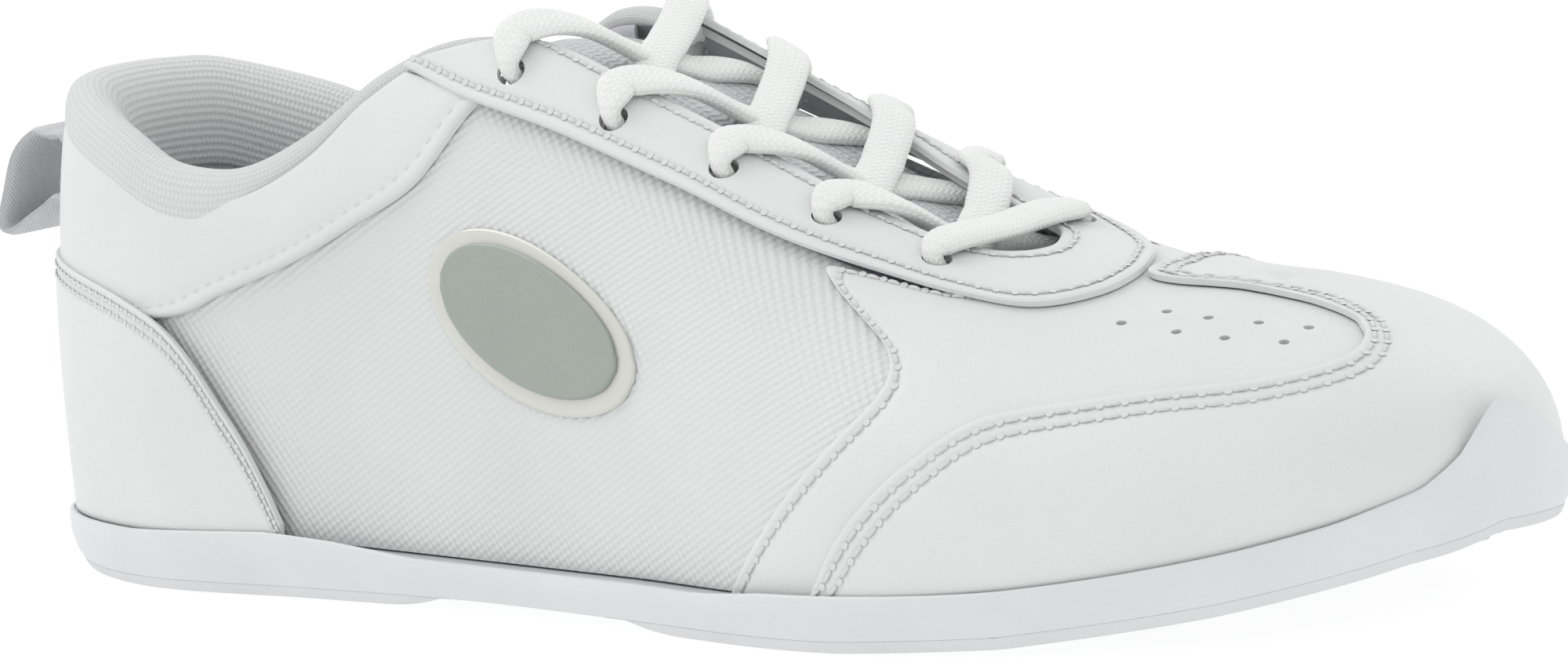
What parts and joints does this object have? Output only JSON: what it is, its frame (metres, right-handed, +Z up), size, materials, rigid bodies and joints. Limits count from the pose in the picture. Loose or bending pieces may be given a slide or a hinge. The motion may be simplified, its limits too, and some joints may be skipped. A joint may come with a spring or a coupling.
{
  "type": "cheer shoe",
  "caption": "Low-cut white cheer shoe with a padded collar, laced throat, windowed toe guard, thin sole and a heel pull loop.",
  "frame": {"origin": "on the ground, under the middle of the shoe's bounding box", "axes": "+X from heel to toe, +Z up, -Y is the outer side of a right shoe"},
  "size_m": [0.288, 0.1005, 0.0901],
  "materials": {
    "sole_rubber": "matt, fine grain",
    "sole_foam": "satin, fine leather grain",
    "board": "pressed fibre board",
    "footbed_cloth": "brushed cloth over foam",
    "leather_upper": "smooth, faintly grained",
    "embossed_upper": "finely embossed like a weave",
    "stiffener": "hidden stiffening sheet",
    "foam": "hidden open-cell foam",
    "lining_cloth": "knitted lining",
    "knit": "spacer knit",
    "lace_braid": "flat tubular braid",
    "clear_tip": "clear plastic",
    "loop_webbing": "plain woven tape",
    "badge_rim": "clear moulded rim",
    "badge_inlay": "metallic film"
  },
  "bodies": {
    "shoe": {"midsole": "sole_foam", "outsole_heel": "sole_rubber", "outsole_forefoot": "sole_rubber", "insole_board": "board", "sockliner_front": "footbed_cloth", "heel_cover": "leather_upper", "quarter_lateral": "embossed_upper", "quarter_medial": "embossed_upper", "collar_panel_lateral": "leather_upper", "collar_panel_medial": "leather_upper", "eyestay": "leather_upper", "eyestay_backer_lateral": "stiffener", "eyestay_backer_medial": "stiffener", "vamp": "leather_upper", "toe_guard": "leather_upper", "toe_puff": "stiffener", "heel_counter": "stiffener", "lining_lateral": "lining_cloth", "lining_medial": "lining_cloth", "collar_foam": "foam", "collar_lining": "lining_cloth", "topline_binding": "knit", "tongue_face": "knit", "tongue_foam": "foam", "tongue_lining": "lining_cloth", "lace": "lace_braid", "aglet_lateral": "clear_tip", "aglet_medial": "clear_tip", "pull_loop_root": "loop_webbing", "badge_base_lateral": "badge_rim", "badge_inlay_lateral": "badge_inlay", "badge_base_medial": "badge_rim", "badge_inlay_medial": "badge_inlay"},
    "pull_loop": {"pull_loop": "loop_webbing"},
    "tongue_top": {"tongue_top": "knit"},
    "footbed_heel": {"sockliner_heel": "footbed_cloth"}
  },
  "joints": [
    {"name": "pull_loop_swing", "type": "hinge", "parent": "shoe", "child": "pull_loop", "pos_m": [-0.1304, 0, 0.0643], "axis": [0, 1, 0], "range_deg": [-15, 30], "stiffness_Nm_per_rad": 0.01},
    {"name": "tongue_top_fold", "type": "hinge", "parent": "shoe", "child": "tongue_top", "pos_m": [-0.0182, 0, 0.0835], "axis": [0, 1, 0], "range_deg": [0, 45], "stiffness_Nm_per_rad": 0.02},
    {"name": "footbed_lift", "type": "hinge", "parent": "shoe", "child": "footbed_heel", "pos_m": [0.0305, 0, 0.0105], "axis": [0, 1, 0], "range_deg": [0, 8]}
  ]
}
